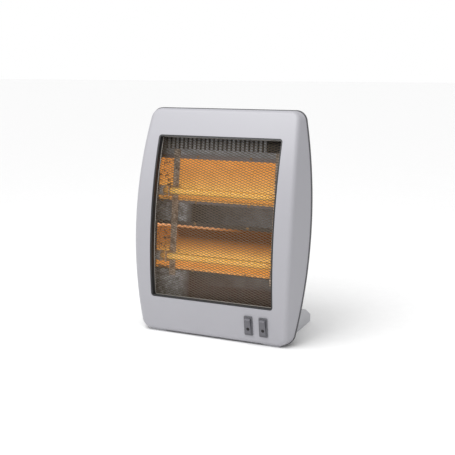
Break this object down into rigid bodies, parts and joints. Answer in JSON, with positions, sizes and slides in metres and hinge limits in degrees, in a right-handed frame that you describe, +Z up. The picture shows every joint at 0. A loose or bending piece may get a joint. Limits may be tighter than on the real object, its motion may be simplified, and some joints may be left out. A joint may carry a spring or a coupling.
{
  "type": "quartz heater",
  "caption": "Free-standing quartz heater: bulging plastic front with a meshed window over glowing tubes in trough reflectors, rocker switches, leaning back cover and feet.",
  "frame": {"origin": "middle of the footprint's bounding rectangle, on the floor", "axes": "+Z up, -Y towards the room the heater faces, +X to the right as one looks at its front from the room"},
  "size_m": [0.2932, 0.1636, 0.3552],
  "materials": {
    "bezel_plastic": "satin",
    "rim_black": "satin",
    "mesh_steel": "matt",
    "shield_steel": "satin",
    "bracket_steel": "satin",
    "reflector_aluminium": "polished",
    "rivet_aluminium": "satin",
    "fixings_steel": "satin",
    "terminal_brass": "satin",
    "quartz_glass": "clear",
    "coil_alloy": "glowing",
    "cap_ceramic": "matt",
    "cutout_ceramic": "matt",
    "switch_plastic": "gloss",
    "rocker_plastic": "gloss",
    "mark_plastic": "gloss",
    "tip_switch_plastic": "satin",
    "plunger_plastic": "satin",
    "spring_steel": "satin",
    "cover_plastic": "fine grain",
    "gland_rubber": "matt",
    "block_plastic": "satin",
    "foot_plastic": "satin",
    "live_insulation": "matt",
    "neutral_insulation": "matt"
  },
  "bodies": {
    "casing": {"front_bezel": "bezel_plastic", "grille_frame": "rim_black", "grille_mesh": "mesh_steel", "heat_shield": "shield_steel", "upper_reflector": "reflector_aluminium", "lower_reflector": "reflector_aluminium", "reflector_rivets": "rivet_aluminium", "left_tube_bracket": "bracket_steel", "right_tube_bracket": "bracket_steel", "bracket_screws": "fixings_steel", "tube_studs": "terminal_brass", "stud_nuts": "terminal_brass", "switch_blades": "terminal_brass", "tip_switch_body": "tip_switch_plastic", "tip_spring": "spring_steel", "shield_screws": "fixings_steel", "thermal_cutout": "cutout_ceramic", "cutout_blades": "terminal_brass", "back_cover": "cover_plastic", "cover_screws": "fixings_steel", "cord_gland": "gland_rubber", "terminal_block": "block_plastic", "block_screws": "fixings_steel", "left_foot": "foot_plastic", "right_foot": "foot_plastic", "foot_screws": "fixings_steel", "upper_quartz_tube": "quartz_glass", "upper_heating_coil": "coil_alloy", "upper_left_cap": "cap_ceramic", "upper_right_cap": "cap_ceramic", "lower_quartz_tube": "quartz_glass", "lower_heating_coil": "coil_alloy", "lower_left_cap": "cap_ceramic", "lower_right_cap": "cap_ceramic", "left_switch_body": "switch_plastic", "right_switch_body": "switch_plastic", "left_feed_wire": "live_insulation", "right_feed_wire": "live_insulation", "lower_tube_wire": "live_insulation", "upper_tube_wire": "live_insulation", "upper_return_wire": "neutral_insulation", "cutout_wire": "neutral_insulation", "lower_return_wire": "neutral_insulation", "tip_wire": "neutral_insulation"},
    "left_rocker": {"left_rocker": "rocker_plastic", "left_rocker_mark": "mark_plastic"},
    "right_rocker": {"right_rocker": "rocker_plastic", "right_rocker_mark": "mark_plastic"},
    "tip_plunger": {"tip_plunger": "plunger_plastic"}
  },
  "joints": [
    {"name": "left_rocker_tip", "type": "hinge", "parent": "casing", "child": "left_rocker", "pos_m": [0.0636, -0.07356, 0.03174], "axis": [1, 0, 0], "range_deg": [-16, 0]},
    {"name": "right_rocker_tip", "type": "hinge", "parent": "casing", "child": "right_rocker", "pos_m": [0.0879, -0.07356, 0.03174], "axis": [1, 0, 0], "range_deg": [-16, 0]},
    {"name": "tip_plunger_slide", "type": "slide", "parent": "casing", "child": "tip_plunger", "axis": [0, 0.1253, 0.9921], "range_m": [-0.005, 0], "stiffness_N_per_m": 120, "springref_m": -0.009, "deforming": ["tip_spring"]}
  ]
}
